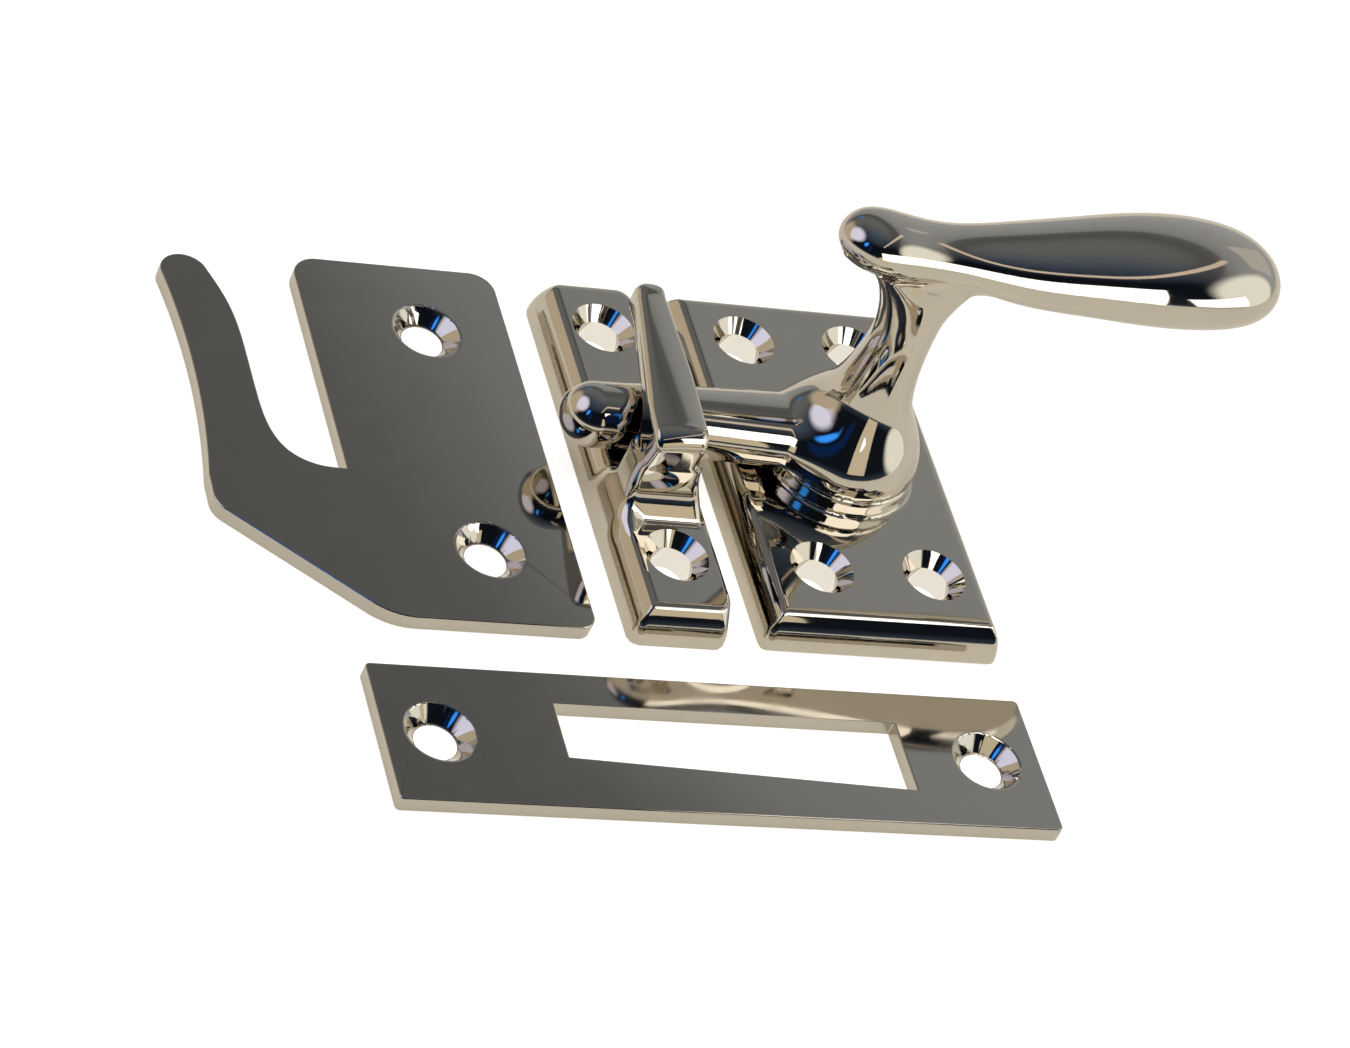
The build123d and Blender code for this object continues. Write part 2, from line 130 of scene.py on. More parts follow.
def polishedNickel(name, color, haze, wave, waveDepth):
    # plated and buffed metal: near mirror, with slow waves, a faint haze in patches and fine buffing lines
    material, tree = newMaterial(name)
    coords = addNode(tree, "ShaderNodeTexCoord").outputs["Object"]
    slow = addNode(tree, "ShaderNodeTexNoise",
                   inputs={"Scale": 1 / (wave * mm), "Detail": 1.0, "Roughness": 0.4},
                   links={"Vector": coords})
    patches = addNode(tree, "ShaderNodeTexNoise",
                      inputs={"Scale": 1 / (4.5 * mm), "Detail": 4.0, "Roughness": 0.6},
                      links={"Vector": coords})
    hazeRange = addNode(tree, "ShaderNodeMapRange",
                        inputs={"From Min": 0.35, "From Max": 0.75, "To Min": haze[0], "To Max": haze[1]},
                        links={"Value": patches.outputs["Fac"]})
    stretched = addNode(tree, "ShaderNodeMapping",
                        inputs={"Scale": (1.0, 0.04, 0.3), "Rotation": (0.0, 0.0, 0.25)},
                        links={"Vector": coords})
    lines = addNode(tree, "ShaderNodeTexNoise",
                    inputs={"Scale": 1 / (nickelLook["lineSpacing"] * mm), "Detail": 2.0},
                    links={"Vector": stretched.outputs["Vector"]})
    waveBump = addNode(tree, "ShaderNodeBump",
                       inputs={"Strength": 1.0, "Distance": waveDepth * mm},
                       links={"Height": slow.outputs["Fac"]})
    lineBump = addNode(tree, "ShaderNodeBump",
                       inputs={"Strength": 1.0, "Distance": nickelLook["lineDepth"] * mm},
                       links={"Height": lines.outputs["Fac"], "Normal": waveBump.outputs["Normal"]})
    shade = srgb(color)
    tone = addNode(tree, "ShaderNodeValToRGB", links={"Fac": patches.outputs["Fac"]})
    tone.color_ramp.elements[0].position = 0.3
    tone.color_ramp.elements[0].color = tuple(0.96 * c for c in shade[:3]) + (1.0,)
    tone.color_ramp.elements[1].position = 0.7
    tone.color_ramp.elements[1].color = shade
    surface = addNode(tree, "ShaderNodeBsdfPrincipled",
                      inputs={"Metallic": 1.0},
                      links={"Base Color": tone.outputs["Color"],
                             "Roughness": hazeRange.outputs["Result"],
                             "Normal": lineBump.outputs["Normal"]})
    addNode(tree, "ShaderNodeOutputMaterial", links={"Surface": surface.outputs["BSDF"]})
    return material


def turnedMetal(name, color, roughness, spacing):
    # plain turned metal: fine rings left by the lathe tool, spacing in mm
    material, tree = newMaterial(name)
    coords = addNode(tree, "ShaderNodeTexCoord").outputs["Object"]
    rings = addNode(tree, "ShaderNodeTexNoise",
                    inputs={"Scale": 1 / (spacing * mm), "Detail": 2.0},
                    links={"Vector": coords})
    rough = addNode(tree, "ShaderNodeMapRange",
                    inputs={"To Min": roughness - 0.06, "To Max": roughness + 0.06},
                    links={"Value": rings.outputs["Fac"]})
    bump = addNode(tree, "ShaderNodeBump",
                   inputs={"Strength": 0.4, "Distance": 0.01 * mm},
                   links={"Height": rings.outputs["Fac"]})
    surface = addNode(tree, "ShaderNodeBsdfPrincipled",
                      inputs={"Metallic": 1.0, "Base Color": srgb(color)},
                      links={"Roughness": rough.outputs["Result"], "Normal": bump.outputs["Normal"]})
    addNode(tree, "ShaderNodeOutputMaterial", links={"Surface": surface.outputs["BSDF"]})
    return material


castNickel = polishedNickel("polishedNickelCasting", nickelLook["castColor"], nickelLook["castHaze"],
                            nickelLook["castWave"], nickelLook["castWaveDepth"])
sheetNickel = polishedNickel("polishedNickelSheet", nickelLook["sheetColor"], nickelLook["sheetHaze"],
                             nickelLook["sheetWave"], nickelLook["sheetWaveDepth"])
turnedBrass = turnedMetal("turnedBrass", "#d9bd7a", 0.28, 0.2)
zincSteel = turnedMetal("zincPlatedSteel", "#b9bbbd", 0.33, 0.3)
say("materials")


def curveThrough(stops):
    # smooth curve of value against position through (position, value) stops, straight beyond the ends
    places, values = np.array(stops, float).T
    count = len(places)
    gaps = np.diff(places)
    matrix = np.eye(count)
    right = np.zeros(count)
    for i in range(1, count - 1):
        matrix[i, i - 1:i + 2] = gaps[i - 1], 2 * (gaps[i - 1] + gaps[i]), gaps[i]
        right[i] = 3 * ((values[i + 1] - values[i]) / gaps[i] - (values[i] - values[i - 1]) / gaps[i - 1])
    bend = np.linalg.solve(matrix, right)
    slope = np.diff(values) / gaps - gaps * (2 * bend[:-1] + bend[1:]) / 3
    twist = np.diff(bend) / (3 * gaps)
    endSlope = slope[-1] + gaps[-1] * (2 * bend[-2] + 3 * twist[-1] * gaps[-1])

    def valueAt(x):
        held = np.clip(x, places[0], places[-1])
        i = np.clip(np.searchsorted(places, held, side="right") - 1, 0, count - 2)
        t = held - places[i]
        inside = values[i] + t * (slope[i] + t * (bend[i] + t * twist[i]))
        return inside + np.where(x < places[0], slope[0], endSlope) * (x - held)
    return valueAt


def roundMax(a, b, radius):
    # intersection of two fields with an edge of that radius
    corner = np.hypot(np.maximum(a + radius, 0), np.maximum(b + radius, 0))
    return np.minimum(-radius, np.maximum(a, b)) + corner


def roundMin(a, b, radius):
    # union of two fields with a fillet of that radius
    return -roundMax(-a, -b, radius)


def roundedRect(x, y, low, high, corners):
    # signed distance to a rectangle; corners are the radii at sw, se, nw, ne
    middle = [(low[i] + high[i]) / 2 for i in (0, 1)]
    half = [(high[i] - low[i]) / 2 for i in (0, 1)]
    sw, se, nw, ne = corners
    radius = np.where(y < middle[1], np.where(x < middle[0], sw, se), np.where(x < middle[0], nw, ne))
    qx = np.abs(x - middle[0]) - half[0] + radius
    qy = np.abs(y - middle[1]) - half[1] + radius
    return np.minimum(np.maximum(qx, qy), 0) + np.hypot(np.maximum(qx, 0), np.maximum(qy, 0)) - radius


def outlineDistance(u, v, outline):
    # signed distance to a closed outline, negative inside
    nearest = np.full(u.shape, 1e9)
    inside = np.zeros(u.shape, bool)
    for (u0, v0), (u1, v1) in zip(outline, np.roll(outline, -1, axis=0)):
        du, dv = u1 - u0, v1 - v0
        length = du * du + dv * dv
        if length < 1e-12:
            continue
        t = np.clip(((u - u0) * du + (v - v0) * dv) / length, 0, 1)
        nearest = np.minimum(nearest, (u - u0 - t * du) ** 2 + (v - v0 - t * dv) ** 2)
        if dv != 0:
            crosses = (v0 <= v) != (v1 <= v)
            inside ^= crosses & (u < u0 + (v - v0) * du / dv)
    return np.where(inside, -1, 1) * np.sqrt(nearest)


def arcThrough(a, b, c, steps=24):
    # points on the circle through three points, from a to c
    (ax, ay), (bx, by), (cx, cy) = a, b, c
    double = 2 * (ax * (by - cy) + bx * (cy - ay) + cx * (ay - by))
    a2, b2, c2 = ax * ax + ay * ay, bx * bx + by * by, cx * cx + cy * cy
    ox = (a2 * (by - cy) + b2 * (cy - ay) + c2 * (ay - by)) / double
    oy = (a2 * (cx - bx) + b2 * (ax - cx) + c2 * (bx - ax)) / double
    radius = math.hypot(ax - ox, ay - oy)
    start, middle, end = (math.atan2(y - oy, x - ox) for x, y in (a, b, c))
    turn = (end - start) % (2 * math.pi)
    if (middle - start) % (2 * math.pi) > turn:
        turn -= 2 * math.pi
    angles = [start + turn * i / steps for i in range(steps + 1)]
    return [(ox + radius * math.cos(angle), oy + radius * math.sin(angle)) for angle in angles]


def roundCorners(corners, steps=10):
    # outline from (x, y, radius) corners
    points = []
    count = len(corners)
    for i, (x, y, radius) in enumerate(corners):
        if radius <= 0:
            points.append((x, y))
            continue
        here = Vector((x, y))
        before = (Vector(corners[i - 1][:2]) - here).normalized()
        after = (Vector(corners[(i + 1) % count][:2]) - here).normalized()
        half = before.angle(after) / 2
        reach = radius / math.tan(half)
        centre = here + (before + after).normalized() * (radius / math.sin(half))
        first, last = here + before * reach - centre, here + after * reach - centre
        for k in range(steps + 1):
            spoke = first.lerp(last, k / steps).normalized() if half > 0.3 else first.slerp(last, k / steps)
            points.append(tuple(centre + spoke * radius))
    return points


def fieldMesh(name, node, field, voxel, rounds):
    # a closed skin of even quads over the CAD node's solid, drawn onto the zero surface of a field in mm
    copy = bpy.data.objects.new(name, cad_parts[node].data.copy())
    scene.collection.objects.link(copy)
    merged = bmesh.new()
    merged.from_mesh(copy.data)
    bmesh.ops.remove_doubles(merged, verts=merged.verts, dist=1e-7)
    merged.to_mesh(copy.data)
    merged.free()
    remesh = copy.modifiers.new("skin", "REMESH")
    remesh.mode = "VOXEL"
    remesh.voxel_size = voxel * mm
    remesh.use_smooth_shade = True
    bpy.context.view_layer.update()
    evaluated = copy.evaluated_get(bpy.context.evaluated_depsgraph_get())
    skin = bpy.data.meshes.new_from_object(evaluated)
    copy.modifiers.clear()
    copy.data = skin
    skin.name = name
    points = np.empty(len(skin.vertices) * 3)
    skin.vertices.foreach_get("co", points)
    points = points.reshape(-1, 3) / mm
    edges = np.empty(len(skin.edges) * 2, int)
    skin.edges.foreach_get("vertices", edges)
    edges = edges.reshape(-1, 2)
    share = np.zeros(len(points))
    np.add.at(share, edges.ravel(), 1)
    for turn in range(rounds):
        total = np.zeros_like(points)
        np.add.at(total, edges[:, 0], points[edges[:, 1]])
        np.add.at(total, edges[:, 1], points[edges[:, 0]])
        points = 0.4 * points + 0.6 * total / share[:, None]
        points = settle(points, field, 3 if turn < rounds - 1 else 6)
    skin.vertices.foreach_set("co", (points * mm).ravel())
    skin.materials.clear()
    skin.update()
    return copy


def settle(points, field, steps):
    # Newton steps along the field's own slope
    small = 0.01
    for _ in range(steps):
        value = field(*points.T)
        slope = np.stack([
            (field(*(points + offset).T) - field(*(points - offset).T)) / (2 * small)
            for offset in np.eye(3) * small
        ], axis=1)
        size = np.maximum((slope ** 2).sum(1), 0.05)
        move = slope * (value / size)[:, None]
        length = np.linalg.norm(move, axis=1)
        points = points - move * np.minimum(1, 0.35 / np.maximum(length, 1e-9))[:, None]
    return points


plateShape = {
    "thickness": 4.0,
    "side": 2.2,          # upright side below the bevel
    "bevel": 1.6,         # how far the bevel comes in
    "edgeRound": 0.3,     # polished-over top edges
    "sideRound": 1.5,     # bevel runs softly into the upright side
    "footRound": 0.12,
}


def bevelledPlate(x, y, z, low, high, corners, squareEast):
    shape = plateShape
    rise = shape["thickness"] - shape["side"]
    around = roundedRect(x, y, low, high, corners)
    if squareEast:
        slanted = roundedRect(x, y, low, (high[0] + 10, high[1]), corners)
    else:
        slanted = around
    bevel = (rise * slanted + shape["bevel"] * (z - shape["side"])) / math.hypot(rise, shape["bevel"])
    body = roundMax(around, bevel, shape["sideRound"])
    body = roundMax(body, z - shape["thickness"], shape["edgeRound"])
    return roundMax(body, -z, shape["footRound"])


pivot = (-0.5, -0.5)
baseShape = {
    "corner": 1.1,
    "bossRadius": 7.75,
    "bossTop": 6.0,
    "bossEdge": 0.4,
    "bossFillet": 0.35,
    "boreRadius": 3.05,
    "pocketRadius": 6.2,
    "pocketDepth": 3.2,
}


def baseField(x, y, z):
    low, high = (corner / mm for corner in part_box("base_plate"))
    shape = baseShape
    plate = bevelledPlate(x, y, z, low, high, [shape["corner"]] * 4, False)
    fromPivot = np.hypot(x - pivot[0], y - pivot[1])
    boss = roundMax(fromPivot - shape["bossRadius"], z - shape["bossTop"], shape["bossEdge"])
    boss = np.maximum(boss, 1 - z)
    body = roundMin(plate, boss, shape["bossFillet"])
    bore = shape["boreRadius"] - fromPivot
    pocket = np.maximum(fromPivot - shape["pocketRadius"], z - shape["pocketDepth"])
    return np.maximum(np.maximum(body, bore), -pocket)


rimShape = {
    "farLeft": 2.6,            # plan corner radii
    "frontLeft": 1.2,
    "right": 0.9,
    "columnRight": -17.1,
    "armRight": -19.2,
    "armTurnIn": 1.0,
    "armLeftFront": -25.6,
    "armLeftNose": -22.5,
    "front": -10.8,            # foot of the swept front
    "sweep": 1.6,
    "brow": 3.2,
    "nose": 12.1,
    "throatBack": -5.0,
    "throatTop": 11.5,
    "noseBottom": 10.95,
    "top": 14.2,
    "edge": 0.85,              # polished edges of the keeper
    "crown": 0.3,              # the arm's top is a little rounded across
    "fillet": 0.35,            # where the keeper runs into the plate
    "leftCove": 2.2,           # the same along the bevelled side
}


def keeperSide():
    s = rimShape
    foot = plateShape["thickness"]
    front, top, roof, back, nose = s["front"], s["top"], s["throatTop"], s["throatBack"], s["nose"]
    waist = (front + s["sweep"], foot + 5.6)
    brow = (front + 0.7 * s["sweep"], top - 1.8)
    browEnd = (front + s["brow"], top)
    topEnd = (nose - 2.2, top - 0.2)
    noseEnd = (nose - 1.9, s["noseBottom"])     # the nose is rounded off in the plan too
    roofEnd = (back + 2.4, roof)
    wallTop = (back, roof - 2.4)
    points = arcThrough((front, foot), (front + 0.94 * s["sweep"], foot + 2.6), waist)
    points += arcThrough(brow, (front + 0.53 * s["brow"], top - 0.45), browEnd)
    points += arcThrough(topEnd, (nose, (top + s["noseBottom"]) / 2 + 0.2), noseEnd)
    points += [(nose - 4.6, roof)]
    points += arcThrough(roofEnd, (back + 0.7, roof - 0.7), wallTop)
    points += [(back, 2.0), (front, 2.0)]
    return np.array(points)


def keeperPlan():
    s = rimShape
    front, right = s["front"] - 2, s["armRight"]
    turn = s["throatBack"] + 5.0
    turnedIn = (right - s["armTurnIn"], front)
    points = [turnedIn, (s["armLeftFront"], front), (s["armLeftFront"], s["front"] + 2.8)]
    points += arcThrough((s["armLeftNose"], s["nose"] - 1.4), (s["armLeftNose"] + 1.6, s["nose"]),
                         (right - 0.05, s["nose"] - 1.6))
    points += arcThrough((right, turn), (right - 0.3 * s["armTurnIn"], turn - 4.5), turnedIn)
    return np.array(points)


keeperSideOutline = keeperSide()
keeperPlanOutline = keeperPlan()


def rimField(x, y, z):
    low, high = (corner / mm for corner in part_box("rim_strike"))
    s = rimShape
    foot = plateShape["thickness"]
    plate = bevelledPlate(x, y, z, low, high, (s["frontLeft"], s["right"], s["farLeft"], s["right"]), True)
    across = (x - (s["armLeftNose"] + s["armRight"]) / 2 + 0.7) / 2.6
    onTop = np.clip((z - s["throatTop"]) / (s["top"] - s["throatTop"]), 0, 1)
    side = outlineDistance(y, z + s["crown"] * onTop * np.minimum(across ** 2, 1.5), keeperSideOutline)
    leftSide = s["armLeftFront"] - x
    share = np.clip((z - foot) / (s["throatTop"] - foot), 0, 1)
    rightSide = x - (s["columnRight"] + (s["armRight"] - s["columnRight"]) * share * (2 - share) * 0.97)
    frontView = np.maximum(leftSide, rightSide)
    arm = outlineDistance(x, y, keeperPlanOutline)
    column = np.maximum(np.maximum(y - s["throatBack"] - 1, z - s["throatTop"] + 1.5), x - s["columnRight"])
    plan = roundMin(arm, column, 0.6)
    keeper = roundMax(roundMax(side, frontView, s["edge"]), plan, s["edge"])
    keeper = np.maximum(keeper, 2.0 - z)
    onLeft = np.clip((s["armLeftFront"] + 2.0 - x) / 1.6, 0, 1)
    body = roundMin(plate, keeper, s["fillet"] + (s["leftCove"] - s["fillet"]) * onLeft)
    return np.maximum(body, -z)


handleShape = {
    # height, half width along X, half width along Y of the hub and neck
    "stem": (
        (5.6, 7.64, 7.64), (6.6, 7.62, 7.62), (7.8, 7.35, 7.35), (9.0, 6.88, 6.88), (10.4, 6.1, 6.1),
        (11.8, 5.2, 5.2), (13.2, 4.4, 4.4), (14.8, 3.84, 3.84), (16.6, 3.45, 3.45), (19.0, 3.12, 3.12),
        (21.6, 3.0, 3.0), (23.6, 3.16, 3.06), (25.4, 3.55, 3.1), (27.2, 4.3, 3.12), (28.8, 5.4, 2.96),
        (30.3, 7.1, 2.4),
    ),
    # height and middle of the neck from the pivot: its top leans towards the knob
    "lean": ((5.0, 0.0), (19.0, 0.0), (22.0, -0.12), (24.5, -0.45), (27.0, -0.65), (31.0, -0.7)),
    # distance along the grip from the knob's end, half height, height of the middle line
    "grip": (
        (0.0, 0.0, 33.3), (1.04, 1.67, 33.3), (2.37, 2.38, 33.25), (4.26, 2.7, 33.1), (7.57, 2.57, 32.75),
        (12.3, 2.5, 32.4), (19.87, 3.44, 32.1), (26.49, 4.09, 32.5), (32.16, 4.56, 32.85), (36.89, 4.65, 33.0),
        (41.15, 4.32, 33.0), (44.23, 3.53, 32.9), (46.12, 2.37, 32.8), (47.3, 0.0, 32.75),
    ),
    "gripStart": -12.1,
    "gripFlat": 1.35,
    "gripFillet": 1.2,
    "tongueHeight": 7.45,
    "tongueHalf": 3.2,
    "tongueRootWidth": 4.6,
    "tongueEnd": -30.8,
    "tongueFillet": 1.7,
    "seam": 6.15,          # underside of the hub
    "seatRadius": 8.6,
    "recessRadius": 6.8,
    "recessTop": 6.55,
    "socketHalf": 2.1,
    "socketTop": 13.0,
}
stemX = curveThrough([(z, a) for z, a, b in handleShape["stem"]])
stemY = curveThrough([(z, b) for z, a, b in handleShape["stem"]])
stemLean = curveThrough(handleShape["lean"])
gripSize = curveThrough([(s, h * h) for s, h, z in handleShape["grip"]])
gripLine = curveThrough([(s, z) for s, h, z in handleShape["grip"]])


def handleField(x, y, z):
    s = handleShape
    u, v = x - pivot[0], y - pivot[1]
    halfX, halfY = np.maximum(stemX(z), 1), np.maximum(stemY(z), 1)
    stem = (np.sqrt(((u - stemLean(z)) / halfX) ** 2 + (v / halfY) ** 2) - 1) * np.minimum(halfX, halfY)
    stem = np.maximum(stem, z - 31.0)
    along = x - s["gripStart"]
    size = gripSize(along)
    flat = (v / s["gripFlat"]) ** 2 + (z - gripLine(along)) ** 2
    grip = (flat - size) / (2 * np.sqrt(np.maximum(size, 0.6)))
    ball = s["tongueEnd"] + s["tongueHalf"]
    share = np.clip((x - ball) / (pivot[0] - ball), 0, 1)
    swell = share - 0.05 * (1 - np.exp(-share / 0.05))      # no kink where the ball begins
    width = s["tongueHalf"] + (s["tongueRootWidth"] - s["tongueHalf"]) * swell
    rise = z - s["tongueHeight"]
    bar = (np.sqrt((v / width) ** 2 + (rise / s["tongueHalf"]) ** 2) - 1) * s["tongueHalf"]
    tip = np.sqrt((x - ball) ** 2 + v ** 2 + rise ** 2) - s["tongueHalf"]
    tongue = np.maximum(np.where(x > ball, bar, tip), x - pivot[0])
    body = roundMin(stem, tongue, s["tongueFillet"])
    body = roundMin(body, grip, s["gripFillet"])
    fromPivot = np.hypot(u, v)
    under = np.maximum(fromPivot - s["seatRadius"], z - s["seam"])
    recess = np.maximum(fromPivot - s["recessRadius"], z - s["recessTop"])
    socket = np.maximum(np.maximum(np.abs(u), np.abs(v)) - s["socketHalf"], z - s["socketTop"])
    body = roundMax(body, -under, 0.15)
    return np.maximum(np.maximum(body, -recess), -socket)


screwHole = {
    "radius": 2.1,
    "angle": 82.0,
    "castSink": 3.25,
    "sheetSink": 3.44,
    "sides": 96,
}


# middle of each plate's screw holes, how many across and along, and their spacing
holeRows = {
    "base": ((0, 0), 2, 2, (12.0, 30.1)),
    "rim": ((-21.2, 0.1), 1, 2, (0, 29.8)),
    "hook": ((-39.05, 0.6), 1, 2, (0, 28.4)),
    "mortise": ((-21.55, -36.35), 2, 1, (55.4, 0)),
}


def holeTree():
    # plate in, plate with rows of countersunk holes out
    tree = bpy.data.node_groups.new("countersunkHoles", "GeometryNodeTree")
    face = tree.interface
    face.new_socket("Geometry", in_out="INPUT", socket_type="NodeSocketGeometry")
    sockets = (
        ("Centre", "NodeSocketVector"), ("Columns", "NodeSocketInt"), ("Rows", "NodeSocketInt"),
        ("Spacing X", "NodeSocketFloat"), ("Spacing Y", "NodeSocketFloat"), ("Thickness", "NodeSocketFloat"),
        ("Hole Radius", "NodeSocketFloat"), ("Sink Radius", "NodeSocketFloat"),
        ("Sink Angle", "NodeSocketFloat"),
        ("Sides", "NodeSocketInt"), ("Finish", "NodeSocketMaterial"),
    )
    for name, kind in sockets:
        face.new_socket(name, in_out="INPUT", socket_type=kind)
    face.new_socket("Geometry", in_out="OUTPUT", socket_type="NodeSocketGeometry")
    given = addNode(tree, "NodeGroupInput").outputs

    def combine(operation, a, b):
        node = addNode(tree, "ShaderNodeMath", {"operation": operation})
        for socket, value in ((node.inputs[0], a), (node.inputs[1], b)):
            if isinstance(value, (int, float)):
                socket.default_value = value
            else:
                tree.links.new(value, socket)
        return node.outputs[0]

    def fromMiddle(number, count, spacing):
        half = combine("MULTIPLY", combine("SUBTRACT", given[count], 1), 0.5)
        return combine("MULTIPLY", combine("SUBTRACT", number, half), given[spacing])

    index = addNode(tree, "GeometryNodeInputIndex").outputs[0]
    column = combine("MODULO", index, given["Columns"])
    row = combine("FLOOR", combine("DIVIDE", combine("ADD", index, 0.001), given["Columns"]), 0)
    across = fromMiddle(column, "Columns", "Spacing X")
    along = fromMiddle(row, "Rows", "Spacing Y")
    offset = addNode(tree, "ShaderNodeCombineXYZ", links={"X": across, "Y": along})
    place = addNode(tree, "ShaderNodeVectorMath", {"operation": "ADD"})
    tree.links.new(offset.outputs[0], place.inputs[0])
    tree.links.new(given["Centre"], place.inputs[1])
    count = combine("MULTIPLY", given["Columns"], given["Rows"])
    points = addNode(tree, "GeometryNodePoints", links={"Count": count, "Position": place.outputs[0]})
    shank = addNode(tree, "GeometryNodeMeshCylinder",
                    links={"Vertices": given["Sides"], "Radius": given["Hole Radius"],
                           "Depth": combine("MULTIPLY", given["Thickness"], 4)})
    spread = combine("TANGENT", combine("RADIANS", combine("MULTIPLY", given["Sink Angle"], 0.5), 0), 0)
    inner = combine("MULTIPLY", given["Hole Radius"], 0.5)
    depth = combine("DIVIDE", combine("SUBTRACT", given["Sink Radius"], inner), spread)
    runOut = combine("MULTIPLY", given["Thickness"], 0.25)
    rimRadius = combine("ADD", given["Sink Radius"], combine("MULTIPLY", runOut, spread))
    sink = addNode(tree, "GeometryNodeMeshCone",
                   links={"Vertices": given["Sides"], "Radius Bottom": inner,
                          "Radius Top": rimRadius,
                          "Depth": combine("ADD", depth, runOut)})
    lift = addNode(tree, "ShaderNodeCombineXYZ", links={"Z": combine("SUBTRACT", given["Thickness"], depth)})
    sinkPlace = addNode(tree, "GeometryNodeTransform",
                        links={"Geometry": sink.outputs["Mesh"], "Translation": lift.outputs[0]})
    cutter = addNode(tree, "GeometryNodeMeshBoolean", {"operation": "UNION", "solver": "EXACT"})
    tree.links.new(shank.outputs["Mesh"], cutter.inputs["Mesh 2"])
    tree.links.new(sinkPlace.outputs[0], cutter.inputs["Mesh 2"])
    repeated = addNode(tree, "GeometryNodeInstanceOnPoints",
                       links={"Points": points.outputs[0], "Instance": cutter.outputs["Mesh"]})
    solid = addNode(tree, "GeometryNodeRealizeInstances", links={"Geometry": repeated.outputs[0]})
    cut = addNode(tree, "GeometryNodeMeshBoolean", {"operation": "DIFFERENCE", "solver": "EXACT"},
                  links={"Mesh 1": given["Geometry"]})
    tree.links.new(solid.outputs[0], cut.inputs["Mesh 2"])
    whole = addNode(tree, "GeometryNodeRealizeInstances", links={"Geometry": cut.outputs["Mesh"]})
    finished = addNode(tree, "GeometryNodeSetMaterial",
                       links={"Geometry": whole.outputs[0], "Material": given["Finish"]})
    addNode(tree, "NodeGroupOutput", links={"Geometry": finished.outputs[0]})
    return tree


countersunkHoles = holeTree()


def drillHoles(piece, values):
    modifier = piece.modifiers.new("holes", "NODES")
    modifier.node_group = countersunkHoles
    for item in countersunkHoles.interface.items_tree:
        if item.in_out == "INPUT" and item.name in values:
            modifier[item.identifier] = values[item.name]
    bakeModifiers(piece)


def bakeModifiers(piece):
    bpy.context.view_layer.update()
    evaluated = piece.evaluated_get(bpy.context.evaluated_depsgraph_get())
    mesh = bpy.data.meshes.new_from_object(evaluated)
    piece.modifiers.clear()
    piece.data = mesh
    mesh.name = piece.name


def holeValues(plate, thickness, sink, finish):
    centre, columns, rows, spacing = holeRows[plate]
    return {
        "Centre": tuple(c * mm for c in centre) + (0.0,), "Columns": columns, "Rows": rows,
        "Spacing X": spacing[0] * mm, "Spacing Y": spacing[1] * mm, "Thickness": thickness * mm,
        "Hole Radius": screwHole["radius"] * mm, "Sink Radius": sink * mm, "Sink Angle": screwHole["angle"],
        "Sides": screwHole["sides"], "Finish": finish,
    }


def finishPiece(piece, body, node, finish, creaseAngle):
    mesh = piece.data
    mesh.materials.clear()
    mesh.materials.append(finish)
    for polygon in mesh.polygons:
        polygon.use_smooth = True
        polygon.material_index = 0
    if creaseAngle:
        mesh.set_sharp_from_angle(angle=math.radians(creaseAngle))
    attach(piece, body)
    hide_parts(node)


voxel = 0.25
handle = fieldMesh("spoonHandle", "handle", handleField, voxel, 5)
finishPiece(handle, "handle", "handle", castNickel, 40)
say("handle")

base = fieldMesh("bevelledBase", "base_plate", baseField, voxel, 4)
drillHoles(base, holeValues("base", plateShape["thickness"], screwHole["castSink"], castNickel))
finishPiece(base, "plates", "base_plate", castNickel, 35)
say("base plate")

rim = fieldMesh("rimStrike", "rim_strike", rimField, 0.9 * voxel, 4)
drillHoles(rim, holeValues("rim", plateShape["thickness"], screwHole["castSink"], castNickel))
finishPiece(rim, "plates", "rim_strike", castNickel, 35)
say("rim strike")


sheetShape = {
    "thickness": 1.7,
    "edgeBreak": 0.16,         # polished-over edges
    "hookRight": -30.35,
    "hookGapWall": -51.45,
    "hookLeft": -65.5,
    "hookLow": -22.7,
    "hookHigh": 23.5,
    "hookTip": 22.4,
    "gapEnd": -4.4,
    "mortiseMiddle": (-21.55, -36.5),
    "mortiseSize": (66.7, 15.9),
    "mortiseCorner": 0.5,
    "slotX": (-15.65, 19.1),
    "slotTop": 4.25,
    "slotLow": (-2.05, -3.85),  # slanted side at the narrow and the wide end
}


def bendThrough(stops, steps=20):
    # smooth line through points in the plane, by the distance between them
    stops = np.array(stops, float)
    distance = np.concatenate([[0], np.cumsum(np.hypot(*np.diff(stops, axis=0).T))])
    lines = [curveThrough(list(zip(distance, stops[:, i]))) for i in (0, 1)]
    where = np.linspace(0, distance[-1], steps * (len(stops) - 1) + 1)
    return list(zip(lines[0](where), lines[1](where)))


def hookOutline():
    s = sheetShape
    wall, end, left, tip, low = s["hookGapWall"], s["gapEnd"], s["hookLeft"], s["hookTip"], s["hookLow"]
    throat = bendThrough([
        (wall, end), (wall - 2.6, end + 0.2), (wall - 5.3, end + 1.75), (wall - 6.65, end + 4.7),
        (wall - 7.0, end + 8.4), (wall - 7.05, end + 14.4), (wall - 7.55, end + 20.6),
        (left + 4.95, tip - 1.25),
    ])
    nose = arcThrough((left + 4.95, tip - 1.25), (left + 2.75, tip), (left + 0.3, tip - 2.4))
    outside = arcThrough((left + 0.3, tip - 2.4), (left + 1.15, tip - 12.0), (left + 0.05, low + 16.2))
    corners = roundCorners([
        (left + 0.05, low + 16.2, 0), (left, low + 12.6, 2.6), (left + 14.8, low, 7.0),
        (s["hookRight"], low, 1.6),
        (s["hookRight"], s["hookHigh"], 2.4), (wall, s["hookHigh"], 2.7), (wall, end, 0),
    ], 16)
    return throat + nose[1:] + outside[1:] + corners[1:-1]


